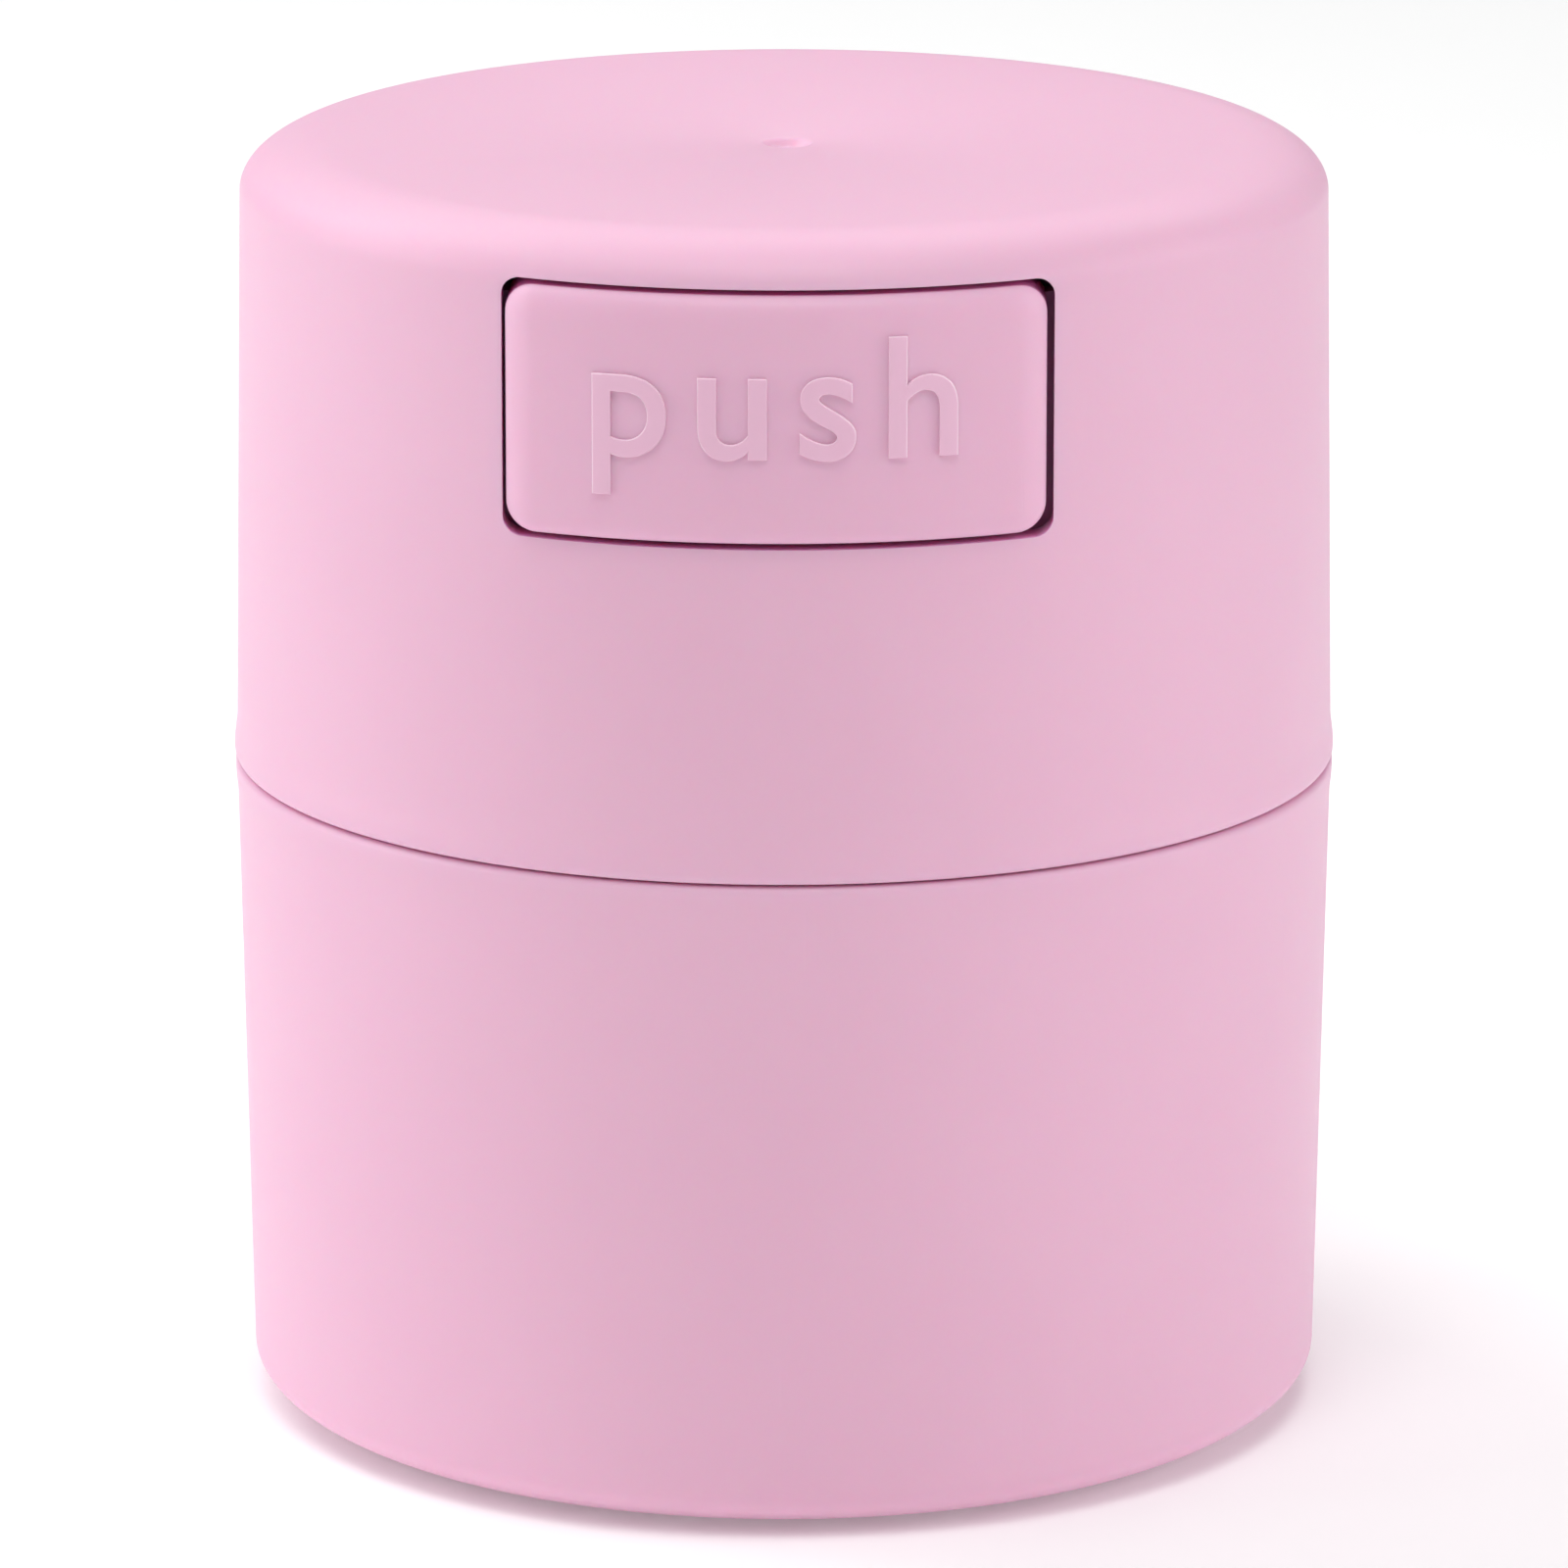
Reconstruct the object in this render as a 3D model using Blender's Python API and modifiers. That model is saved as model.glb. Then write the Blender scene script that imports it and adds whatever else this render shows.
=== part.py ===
"""Push-button airtight canister: a base with an inner cup and a deep push-on lid with a vent button.

The part stands on the plane z = 0 with its axis on +Z, and the button faces -Y.
The lid is double-walled: between its shell and its liner sits the button with its guide plate,
two return springs and the stem of the vent valve, whose disc closes a port in the liner.
"""
import math

import bmesh
import bpy

MM = 0.001

# Overall shape
BODY_HEIGHT = 72.0 * MM
LID_HEIGHT = 34.65 * MM
LID_RADIUS = 30.22 * MM
SEAM_GAP = 0.3 * MM
FIT_GAP = 0.3 * MM

# Lid shell
LID_WALL = 1.8 * MM
LID_TOP_THICKNESS = 2.0 * MM
LID_DRAFT = 0.51 * MM
LID_EDGE_RUN = 4.78 * MM
LID_EDGE_DROP = 2.78 * MM
LID_INNER_FILLET = 0.8 * MM
LIP_FLARE = 0.17 * MM
LIP_HEIGHT = 2.9 * MM
LIP_EDGE = 0.35 * MM
GATE_RADIUS = 1.4 * MM
GATE_DEPTH = 0.25 * MM

# Base shell
BASE_WALL = 1.8 * MM
BASE_FLOOR = 2.0 * MM
BASE_TAPER = 0.55 * MM
BASE_EDGE_RUN = 5.73 * MM
BASE_EDGE_RISE = 2.78 * MM
BASE_RIM_EDGE = 0.3 * MM
BASE_INNER_FILLET = 3.0 * MM

# Storage cup and its neck
CUP_WALL = 1.6 * MM
CUP_FILLET = 3.5 * MM
CUP_FLANGE_THICKNESS = 1.5 * MM
NECK_CLEARANCE = 0.7 * MM
NECK_HEADROOM = 2.0 * MM
NECK_LIP_EDGE = 0.5 * MM
GROOVE_DROP = 2.1 * MM
GROOVE_HEIGHT = 2.4 * MM
GROOVE_DEPTH = 0.9 * MM

# Lid liner and the pocket behind the button
LINER_WALL = 1.5 * MM
LINER_SIDE_GAP = 1.0 * MM
LINER_EDGE = 0.6 * MM
LINER_FILLET = 1.0 * MM
LINER_FLANGE_THICKNESS = 1.5 * MM
POCKET_SIDE_CLEARANCE = 0.4 * MM
POCKET_FLOOR_CLEARANCE = 0.4 * MM
PORT_RADIUS = 2.4 * MM

# Window and button
WINDOW_WIDTH = 29.38 * MM
WINDOW_HEIGHT = 14.0 * MM
WINDOW_DROP = 2.5 * MM
WINDOW_CORNER = 1.0 * MM
BUTTON_PROUD = 0.5 * MM
BUTTON_PLATE = 1.2 * MM
BUTTON_CORNER = 1.5 * MM
BUTTON_FACE_EDGE = 0.8 * MM
BUTTON_TRAVEL = 2.0 * MM
FLANGE_LAP = 1.2 * MM
FLANGE_END_THICKNESS = 1.38 * MM
TRAVEL_SPARE = 0.4 * MM

# Return springs with their posts and sockets
SPRING_INSET = 5.2 * MM
SPRING_RADIUS = 2.1 * MM
SPRING_WIRE = 0.4 * MM
SPRING_TURNS = 4.5
SPRING_CLOSE_PITCH = 0.43 * MM
SPRING_SIDE_GAP = 0.4 * MM
SOCKET_WALL = 0.75 * MM

# Guide plate and its screws
GUIDE_THICKNESS = 1.6 * MM
SCREW_INSET = 1.5 * MM
SCREW_RADIUS = 1.0 * MM
SCREW_HEAD_RADIUS = 1.9 * MM
SCREW_HEAD_HEIGHT = 0.9 * MM
SCREW_LENGTH = 3.6 * MM
SCREW_SLOT_WIDTH = 0.5 * MM
SCREW_SLOT_REACH = 1.2 * MM
SCREW_SLOT_DEPTH = 0.4 * MM
SCREW_BOSS_WALL = 1.1 * MM
SCREW_BOSS_FLOOR = 0.8 * MM

# Vent valve
STEM_RADIUS = 1.0 * MM
STEM_BOSS_WALL = 0.9 * MM
STEM_COLLAR_RADIUS = 1.6 * MM
STEM_COLLAR_LENGTH = 1.0 * MM
STEM_GROOVE_DEPTH = 0.35 * MM
STEM_TIP_LENGTH = 0.8 * MM
DISC_RADIUS = 5.0 * MM
DISC_THICKNESS = 1.2 * MM
CLIP_RADIUS = 2.9 * MM
CLIP_THICKNESS = 0.6 * MM
CLIP_MOUTH_HALF = 0.8 * MM

# Facets
SHELL_STEPS = 60
FACE_STEPS = 112
SMALL_STEPS = 24
CORNER_STEPS = 5
COIL_STEPS = 14
SMOOTH_ANGLE = math.radians(32.0)
SOFTEN_ANGLE = math.radians(50.0)
AXIS_MERGE = 0.001 * MM
CORNER_MERGE = 0.01 * MM
SLOT_TURNS = {"left": 0.3, "right": 1.0}
SIDES = (("left", -1.0), ("right", 1.0))


def outward(radius, half_width):
    """Distance in front of the axis of a circle's point that lies half_width to the side."""
    return math.sqrt(radius ** 2 - half_width ** 2)


# Heights, radii and distances in front of the axis that follow from the sizes above
seam_z = BODY_HEIGHT - LID_HEIGHT
base_top_z = seam_z - SEAM_GAP
lid_mouth_radius = LID_RADIUS + LID_DRAFT
lid_edge_z = BODY_HEIGHT - LID_EDGE_DROP
lid_underside_z = BODY_HEIGHT - LID_TOP_THICKNESS
lid_inner_top_radius = LID_RADIUS - LID_WALL
lid_inner_mouth_radius = lid_mouth_radius - LID_WALL
base_top_radius = lid_mouth_radius
base_foot_radius = base_top_radius - BASE_TAPER
base_inner_top_radius = base_top_radius - BASE_WALL
base_inner_foot_radius = base_foot_radius - BASE_WALL
liner_radius = lid_inner_top_radius - LINER_SIDE_GAP
liner_inner_radius = liner_radius - LINER_WALL
liner_top_z = lid_underside_z - FIT_GAP
liner_ceiling_z = liner_top_z - LINER_WALL
neck_radius = liner_inner_radius - NECK_CLEARANCE
cup_inner_radius = neck_radius - CUP_WALL
window_top_z = BODY_HEIGHT - WINDOW_DROP
window_bottom_z = window_top_z - WINDOW_HEIGHT
window_half = WINDOW_WIDTH / 2
button_z = (window_top_z + window_bottom_z) / 2
button_half = window_half - FIT_GAP
button_half_height = WINDOW_HEIGHT / 2 - FIT_GAP
flange_half = window_half + FLANGE_LAP
flange_bottom_z = window_bottom_z - FLANGE_LAP
flange_radius = lid_inner_top_radius - FIT_GAP
flange_inner_radius = flange_radius - BUTTON_PLATE
pocket_half = flange_half + POCKET_SIDE_CLEARANCE
pocket_floor_z = flange_bottom_z - POCKET_FLOOR_CLEARANCE
neck_top_z = pocket_floor_z - LINER_WALL - NECK_HEADROOM
trim_y = outward(flange_radius, flange_half) - FLANGE_END_THICKNESS
guide_front_y = trim_y - BUTTON_TRAVEL - TRAVEL_SPARE
guide_back_y = guide_front_y - GUIDE_THICKNESS
pocket_wall_y = guide_back_y - FIT_GAP
pocket_inner_y = pocket_wall_y - LINER_WALL
spring_x = window_half - SPRING_INSET
socket_bore = SPRING_RADIUS + SPRING_WIRE / 2 + SPRING_SIDE_GAP
post_radius = SPRING_RADIUS - SPRING_WIRE / 2 - SPRING_SIDE_GAP
screw_x = window_half - SCREW_INSET
screw_hole_end_y = guide_front_y - SCREW_LENGTH - FIT_GAP
socket_floor_y = outward(flange_inner_radius, spring_x)
stem_bore = STEM_RADIUS + FIT_GAP
side_slope = LID_DRAFT / (lid_edge_z - seam_z)
button_face_radius = LID_RADIUS + side_slope * (lid_edge_z - button_z) + BUTTON_PROUD


def collection_named(name):
    group = bpy.data.collections.new(name)
    bpy.context.scene.collection.children.link(group)
    return group


def clear_file():
    for item in list(bpy.data.objects):
        bpy.data.objects.remove(item, do_unlink=True)


def plastic(name, colour, roughness, metallic=0.0):
    made = bpy.data.materials.new(name)
    made.use_nodes = True
    shader = made.node_tree.nodes["Principled BSDF"]
    shader.inputs["Base Color"].default_value = (*colour, 1.0)
    shader.inputs["Roughness"].default_value = roughness
    shader.inputs["Metallic"].default_value = metallic
    made.diffuse_color = (*colour, 1.0)
    return made


def arc(centre_r, centre_z, run, rise, start, end, steps=CORNER_STEPS):
    """Points of an elliptical corner, angles in degrees from +radius towards +height."""
    points = []
    for index in range(steps + 1):
        angle = math.radians(start + (end - start) * index / steps)
        points.append((centre_r + run * math.cos(angle), centre_z + rise * math.sin(angle)))
    return points


def turned(name, profile, group, steps, closed=False):
    """Solid of revolution about the object's own Z from (radius, height) points."""
    mesh = bpy.data.meshes.new(name)
    edges = [(index, index + 1) for index in range(len(profile) - 1)]
    if closed:
        edges.append((len(profile) - 1, 0))
    mesh.from_pydata([(radius, 0.0, height) for radius, height in profile], edges, [])
    made = bpy.data.objects.new(name, mesh)
    group.objects.link(made)
    screw = made.modifiers.new("turn", "SCREW")
    screw.steps = steps
    screw.render_steps = steps
    screw.use_merge_vertices = True
    screw.merge_threshold = AXIS_MERGE
    return made


def cylinder(name, radius, depth, group, steps=SMALL_STEPS):
    """Closed cylinder that stands on its own origin along +Z."""
    mesh = bpy.data.meshes.new(name)
    shape = bmesh.new()
    bmesh.ops.create_cone(shape, cap_ends=True, segments=steps, radius1=radius, radius2=radius, depth=depth)
    bmesh.ops.translate(shape, verts=shape.verts, vec=(0.0, 0.0, depth / 2))
    shape.to_mesh(mesh)
    shape.free()
    made = bpy.data.objects.new(name, mesh)
    group.objects.link(made)
    return made


def box(name, low, high, group):
    """Closed box between two corners given in the object's own frame."""
    mesh = bpy.data.meshes.new(name)
    shape = bmesh.new()
    bmesh.ops.create_cube(shape, size=1.0)
    size = [high[axis] - low[axis] for axis in range(3)]
    middle = [(high[axis] + low[axis]) / 2 for axis in range(3)]
    bmesh.ops.scale(shape, verts=shape.verts, vec=size)
    bmesh.ops.translate(shape, verts=shape.verts, vec=middle)
    shape.to_mesh(mesh)
    shape.free()
    made = bpy.data.objects.new(name, mesh)
    group.objects.link(made)
    return made


def rounded_slab(name, half_width, low_z, high_z, near, far, corner, group):
    """Rounded rectangle in the x-z plane, carried along -Y from near to far."""
    made = box(name, (-half_width, -far, low_z), (half_width, -near, high_z), group)
    mesh = made.data
    shape = bmesh.new()
    shape.from_mesh(mesh)
    corners = [edge for edge in shape.edges
               if abs(edge.verts[0].co.y - edge.verts[1].co.y) > (far - near) / 2]
    bmesh.ops.bevel(shape, geom=corners, offset=corner, segments=CORNER_STEPS, profile=0.5,
                    affect="EDGES", clamp_overlap=True)
    shape.to_mesh(mesh)
    shape.free()
    return made


def place(piece, parent, location, rotation=(0.0, 0.0, 0.0)):
    piece.parent = parent
    piece.location = location
    piece.rotation_euler = rotation


def combine(piece, other, operation):
    step = piece.modifiers.new(operation.lower() + "_" + other.name, "BOOLEAN")
    step.operation = operation
    step.object = other
    step.solver = "EXACT"
    return step


def as_cutter(piece):
    piece.hide_render = True
    piece.display_type = "WIRE"


def finish(piece, material):
    """One material and smooth shading that keeps the real edges crisp."""
    piece.data.materials.clear()
    piece.data.materials.append(material)
    for face in piece.data.polygons:
        face.use_smooth = True
    if piece.data.polygons:
        piece.data.set_sharp_from_angle(angle=SMOOTH_ANGLE)


clear_file()
parts = collection_named("airtight_canister")
cutters = collection_named("airtight_canister_cutters")

pink = plastic("pink_shell", (0.86, 0.50, 0.66), 0.38)
pink_button = plastic("pink_button", (0.84, 0.47, 0.63), 0.34)
clear_white = plastic("white_liner", (0.82, 0.81, 0.79), 0.32)
seal_rubber = plastic("silicone", (0.70, 0.69, 0.68), 0.55)
white_guide = plastic("white_guide", (0.78, 0.78, 0.76), 0.42)
spring_steel = plastic("spring_steel", (0.62, 0.62, 0.63), 0.28, 1.0)
screw_steel = plastic("screw_steel", (0.55, 0.54, 0.52), 0.32, 1.0)

ALONG_BUTTON = (math.radians(90.0), 0.0, 0.0)


# ---------------------------------------------------------------- base shell
def make_base_shell():
    profile = [(0.0, BASE_FLOOR)]
    profile += arc(base_inner_foot_radius - BASE_INNER_FILLET, BASE_FLOOR + BASE_INNER_FILLET,
                   BASE_INNER_FILLET, BASE_INNER_FILLET, -90.0, 0.0)
    profile.append((base_inner_top_radius, base_top_z))
    profile += arc(base_top_radius - BASE_RIM_EDGE, base_top_z - BASE_RIM_EDGE,
                   BASE_RIM_EDGE, BASE_RIM_EDGE, 90.0, 0.0, 3)
    profile += arc(base_foot_radius - BASE_EDGE_RUN, BASE_EDGE_RISE,
                   BASE_EDGE_RUN, BASE_EDGE_RISE, 0.0, -90.0, 8)
    profile.append((0.0, 0.0))
    return turned("base_shell", profile, parts, SHELL_STEPS)


# -------------------------------------------------------------- storage cup
cup_foot_z = BASE_FLOOR + FIT_GAP
groove_top_z = neck_top_z - GROOVE_DROP
groove_bottom_z = groove_top_z - GROOVE_HEIGHT
groove_radius = neck_radius - GROOVE_DEPTH


def make_storage_cup():
    flange_outer = base_inner_top_radius - FIT_GAP
    floor_top = CUP_WALL
    top = neck_top_z - cup_foot_z
    shelf = base_top_z - cup_foot_z
    profile = [(0.0, floor_top)]
    profile += arc(cup_inner_radius - CUP_FILLET, floor_top + CUP_FILLET,
                   CUP_FILLET, CUP_FILLET, -90.0, 0.0, 4)
    profile += arc(cup_inner_radius + NECK_LIP_EDGE, top - NECK_LIP_EDGE,
                   NECK_LIP_EDGE, NECK_LIP_EDGE, 180.0, 90.0, 2)
    profile += arc(neck_radius - NECK_LIP_EDGE, top - NECK_LIP_EDGE,
                   NECK_LIP_EDGE, NECK_LIP_EDGE, 90.0, 0.0, 2)
    profile.append((neck_radius, groove_top_z - cup_foot_z))
    profile.append((groove_radius, groove_top_z - cup_foot_z))
    profile.append((groove_radius, groove_bottom_z - cup_foot_z))
    profile.append((neck_radius, groove_bottom_z - cup_foot_z))
    profile.append((neck_radius, shelf))
    profile.append((flange_outer, shelf))
    profile.append((flange_outer, shelf - CUP_FLANGE_THICKNESS))
    profile.append((neck_radius, shelf - CUP_FLANGE_THICKNESS))
    profile += arc(neck_radius - CUP_FILLET, CUP_FILLET, CUP_FILLET, CUP_FILLET, 0.0, -90.0, 4)
    profile.append((0.0, 0.0))
    return turned("storage_cup", profile, parts, SHELL_STEPS)


# ----------------------------------------------------------- neck seal ring
def make_seal_ring():
    """Square-backed ring with two rounded lips on its outer side."""
    inner = groove_radius + FIT_GAP
    outer = liner_inner_radius - FIT_GAP
    height = GROOVE_HEIGHT - 2 * FIT_GAP
    lip = height / 4
    waist = outer - lip
    profile = [(inner, height)]
    profile += arc(waist, height - lip, lip, lip, 90.0, -60.0, 3)
    profile += arc(waist, lip, lip, lip, 60.0, -90.0, 3)
    profile.append((inner, 0.0))
    return turned("neck_seal_ring", profile, parts, SHELL_STEPS, closed=True)


# ---------------------------------------------------------------- lid shell
def make_lid_shell():
    top = BODY_HEIGHT - seam_z
    lip_radius = lid_mouth_radius + LIP_FLARE
    inner_corner_z = lid_underside_z - seam_z - LID_INNER_FILLET
    profile = [(0.0, top)]
    profile += arc(LID_RADIUS - LID_EDGE_RUN, lid_edge_z - seam_z, LID_EDGE_RUN, LID_EDGE_DROP, 90.0, 0.0, 9)
    profile.append((lid_mouth_radius, LIP_HEIGHT))
    profile.append((lip_radius, LIP_HEIGHT / 2))
    profile += arc(lip_radius - LIP_EDGE, LIP_EDGE, LIP_EDGE, LIP_EDGE, 0.0, -90.0, 3)
    profile.append((lid_inner_mouth_radius, 0.0))
    profile += arc(lid_inner_top_radius - LID_INNER_FILLET, inner_corner_z,
                   LID_INNER_FILLET, LID_INNER_FILLET, 0.0, 90.0, 3)
    profile.append((0.0, lid_underside_z - seam_z))
    shell = turned("lid_shell", profile, parts, SHELL_STEPS)
    window = rounded_slab("window_cut", window_half, window_bottom_z - seam_z, window_top_z - seam_z,
                          pocket_wall_y, 2 * LID_RADIUS, WINDOW_CORNER, cutters)
    place(window, shell, (0.0, 0.0, 0.0))
    combine(shell, window, "DIFFERENCE")
    gate = cylinder("gate_cut", GATE_RADIUS, 2 * GATE_DEPTH, cutters)
    place(gate, shell, (0.0, 0.0, top - GATE_DEPTH))
    combine(shell, gate, "DIFFERENCE")
    as_cutter(window)
    as_cutter(gate)
    return shell


# ---------------------------------------------------------------- lid liner
def make_lid_liner():
    top = liner_top_z - seam_z
    ceiling = liner_ceiling_z - seam_z
    button_height = button_z - seam_z
    flange_outer = lid_inner_mouth_radius - FIT_GAP
    boss_radius = SCREW_RADIUS + FIT_GAP + SCREW_BOSS_WALL
    boss_inner_y = screw_hole_end_y - SCREW_BOSS_FLOOR
    profile = [(0.0, top)]
    profile += arc(liner_radius - LINER_EDGE, top - LINER_EDGE, LINER_EDGE, LINER_EDGE, 90.0, 0.0, 3)
    profile.append((liner_radius, LINER_FLANGE_THICKNESS))
    profile.append((flange_outer, LINER_FLANGE_THICKNESS))
    profile.append((flange_outer, 0.0))
    profile.append((liner_inner_radius, 0.0))
    profile += arc(liner_inner_radius - LINER_FILLET, ceiling - LINER_FILLET,
                   LINER_FILLET, LINER_FILLET, 0.0, 90.0, 3)
    profile.append((0.0, ceiling))
    liner = turned("lid_liner", profile, parts, SHELL_STEPS)

    mid_wall = (liner_radius + liner_inner_radius) / 2
    block_top = (top + ceiling) / 2
    block_floor = pocket_floor_z - LINER_WALL - seam_z
    block = cylinder("pocket_block", mid_wall, block_top - block_floor, cutters, SHELL_STEPS)
    place(block, liner, (0.0, 0.0, block_floor))
    block_bounds = box("pocket_block_bounds",
                       (-pocket_half - LINER_WALL, -2 * liner_radius, -liner_radius),
                       (pocket_half + LINER_WALL, -pocket_inner_y, liner_radius), cutters)
    place(block_bounds, block, (0.0, 0.0, 0.0))
    combine(block, block_bounds, "INTERSECT")
    combine(liner, block, "UNION")
    helpers = [block, block_bounds]

    for side, sign in SIDES:
        boss = cylinder("screw_boss_" + side, boss_radius,
                        pocket_inner_y + LINER_WALL / 2 - boss_inner_y, cutters)
        place(boss, liner, (sign * screw_x, -boss_inner_y, button_height), ALONG_BUTTON)
        combine(liner, boss, "UNION")
        helpers.append(boss)

    pocket = box("pocket_cut", (-pocket_half, -2 * liner_radius, pocket_floor_z - seam_z),
                 (pocket_half, -pocket_wall_y, 2 * top), cutters)
    place(pocket, liner, (0.0, 0.0, 0.0))
    combine(liner, pocket, "DIFFERENCE")
    port = cylinder("port_cut", PORT_RADIUS, 3 * LINER_WALL, cutters)
    place(port, liner, (0.0, -pocket_inner_y + LINER_WALL, button_height), ALONG_BUTTON)
    combine(liner, port, "DIFFERENCE")
    helpers += [pocket, port]
    for side, sign in SIDES:
        hole = cylinder("screw_hole_" + side, SCREW_RADIUS + FIT_GAP,
                        pocket_wall_y + LINER_WALL - screw_hole_end_y, cutters)
        place(hole, liner, (sign * screw_x, -screw_hole_end_y, button_height), ALONG_BUTTON)
        combine(liner, hole, "DIFFERENCE")
        helpers.append(hole)
    for helper in helpers:
        as_cutter(helper)
    return liner


# ------------------------------------------------------------------- button
def make_push_button():
    """Curved face block with a wider flange behind the window's edges, hollowed from behind
    round two spring sockets and a stem boss, and cut flat at the back."""
    deep_y = trim_y / 2
    reach = 2 * WINDOW_HEIGHT
    button = rounded_slab("push_button", button_half, -button_half_height, button_half_height,
                          deep_y, 2 * LID_RADIUS, BUTTON_CORNER, parts)
    rise = side_slope * reach
    face = turned("button_face", [(0.0, reach), (button_face_radius - rise, reach),
                                  (button_face_radius + rise, -reach), (0.0, -reach)],
                  cutters, FACE_STEPS)
    place(face, button, (0.0, 0.0, 0.0))
    combine(button, face, "INTERSECT")
    soften = button.modifiers.new("soft_edges", "BEVEL")
    soften.width = BUTTON_FACE_EDGE
    soften.segments = 3
    soften.limit_method = "ANGLE"
    soften.angle_limit = SOFTEN_ANGLE
    close_up = button.modifiers.new("close_up", "WELD")
    close_up.merge_threshold = CORNER_MERGE
    button.modifiers.new("flat_faces", "TRIANGULATE")

    flange = cylinder("button_flange", flange_radius, 2 * reach, cutters, FACE_STEPS)
    flange_bounds = box("flange_bounds", (-flange_half, -2 * LID_RADIUS, flange_bottom_z - button_z + reach),
                        (flange_half, -deep_y - BUTTON_PLATE,
                         button_half_height - BUTTON_FACE_EDGE + reach), cutters)
    place(flange, button, (0.0, 0.0, -reach))
    place(flange_bounds, flange, (0.0, 0.0, 0.0))
    combine(flange, flange_bounds, "INTERSECT")
    combine(button, flange, "UNION")

    hollow = cylinder("button_hollow", flange_inner_radius, 2 * reach, cutters, FACE_STEPS)
    place(hollow, button, (0.0, 0.0, -reach))
    boss = cylinder("stem_boss", stem_bore + STEM_BOSS_WALL, 2 * trim_y, cutters)
    place(boss, button, (0.0, 0.0, 0.0), ALONG_BUTTON)
    combine(hollow, boss, "DIFFERENCE")
    helpers = [face, flange, flange_bounds, hollow, boss]
    bores = []
    for side, sign in SIDES:
        socket = cylinder("socket_" + side, socket_bore + SOCKET_WALL, 2 * trim_y, cutters)
        place(socket, button, (sign * spring_x, 0.0, 0.0), ALONG_BUTTON)
        combine(hollow, socket, "DIFFERENCE")
        bore = cylinder("socket_bore_" + side, socket_bore, socket_floor_y, cutters)
        place(bore, button, (sign * spring_x, 0.0, 0.0), ALONG_BUTTON)
        bores.append(bore)
        helpers.append(socket)
    combine(button, hollow, "DIFFERENCE")
    stem_hole = cylinder("stem_hole", stem_bore, flange_inner_radius + FIT_GAP, cutters)
    place(stem_hole, button, (0.0, 0.0, 0.0), ALONG_BUTTON)
    rear_trim = box("rear_trim", (-2 * flange_half, -trim_y, -reach), (2 * flange_half, 0.0, reach), cutters)
    place(rear_trim, button, (0.0, 0.0, 0.0))
    for cutter in bores + [stem_hole, rear_trim]:
        combine(button, cutter, "DIFFERENCE")
        helpers.append(cutter)
    for helper in helpers:
        as_cutter(helper)
    return button


# -------------------------------------------------------------- guide plate
def make_button_guide():
    """Plate with two posts for the springs, an air hole round the stem and two countersunk holes."""
    half_height = (liner_top_z - FIT_GAP - pocket_floor_z) / 2 - POCKET_FLOOR_CLEARANCE
    middle_z = (liner_top_z - FIT_GAP + pocket_floor_z) / 2 - button_z
    half_width = pocket_half - POCKET_SIDE_CLEARANCE - FIT_GAP
    guide = rounded_slab("button_guide", half_width, middle_z - half_height, middle_z + half_height,
                         0.0, GUIDE_THICKNESS, BUTTON_CORNER, parts)
    helpers = []
    post_length = socket_floor_y - guide_front_y - BUTTON_TRAVEL - TRAVEL_SPARE
    for side, sign in SIDES:
        post = cylinder("post_" + side, post_radius, post_length + GUIDE_THICKNESS / 2, cutters)
        place(post, guide, (sign * spring_x, -GUIDE_THICKNESS / 2, 0.0), ALONG_BUTTON)
        combine(guide, post, "UNION")
        helpers.append(post)
    air_hole = cylinder("air_hole", PORT_RADIUS, 3 * GUIDE_THICKNESS, cutters)
    place(air_hole, guide, (0.0, GUIDE_THICKNESS, 0.0), ALONG_BUTTON)
    combine(guide, air_hole, "DIFFERENCE")
    helpers.append(air_hole)
    for side, sign in SIDES:
        head_z = GUIDE_THICKNESS - SCREW_HEAD_HEIGHT - FIT_GAP
        bore = SCREW_RADIUS + FIT_GAP
        wide = SCREW_HEAD_RADIUS + FIT_GAP
        sink_profile = [(0.0, 2 * GUIDE_THICKNESS), (wide, 2 * GUIDE_THICKNESS), (wide, GUIDE_THICKNESS),
                        (bore, head_z), (bore, -GUIDE_THICKNESS), (0.0, -GUIDE_THICKNESS)]
        sink = turned("countersink_" + side, sink_profile, cutters, SMALL_STEPS)
        place(sink, guide, (sign * screw_x, 0.0, 0.0), ALONG_BUTTON)
        combine(guide, sink, "DIFFERENCE")
        helpers.append(sink)
    for helper in helpers:
        as_cutter(helper)
    return guide


# ------------------------------------------------------------------- screws
def make_guide_screw(name, slot_angle):
    """Countersunk screw, head up at its own z = 0, with a cross recess."""
    profile = [(0.0, 0.0), (SCREW_HEAD_RADIUS, 0.0), (SCREW_RADIUS, -SCREW_HEAD_HEIGHT),
               (SCREW_RADIUS, -SCREW_LENGTH + SCREW_RADIUS / 2), (SCREW_RADIUS / 2, -SCREW_LENGTH),
               (0.0, -SCREW_LENGTH)]
    screw = turned(name, profile, parts, SMALL_STEPS)
    narrow = SCREW_SLOT_WIDTH / 2
    for index, half in enumerate(((SCREW_SLOT_REACH, narrow), (narrow, SCREW_SLOT_REACH))):
        slot = box(name + "_slot_" + str(index), (-half[0], -half[1], -SCREW_SLOT_DEPTH),
                   (half[0], half[1], SCREW_SLOT_DEPTH), cutters)
        place(slot, screw, (0.0, 0.0, 0.0), (0.0, 0.0, slot_angle))
        combine(screw, slot, "DIFFERENCE")
        as_cutter(slot)
    return screw


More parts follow.
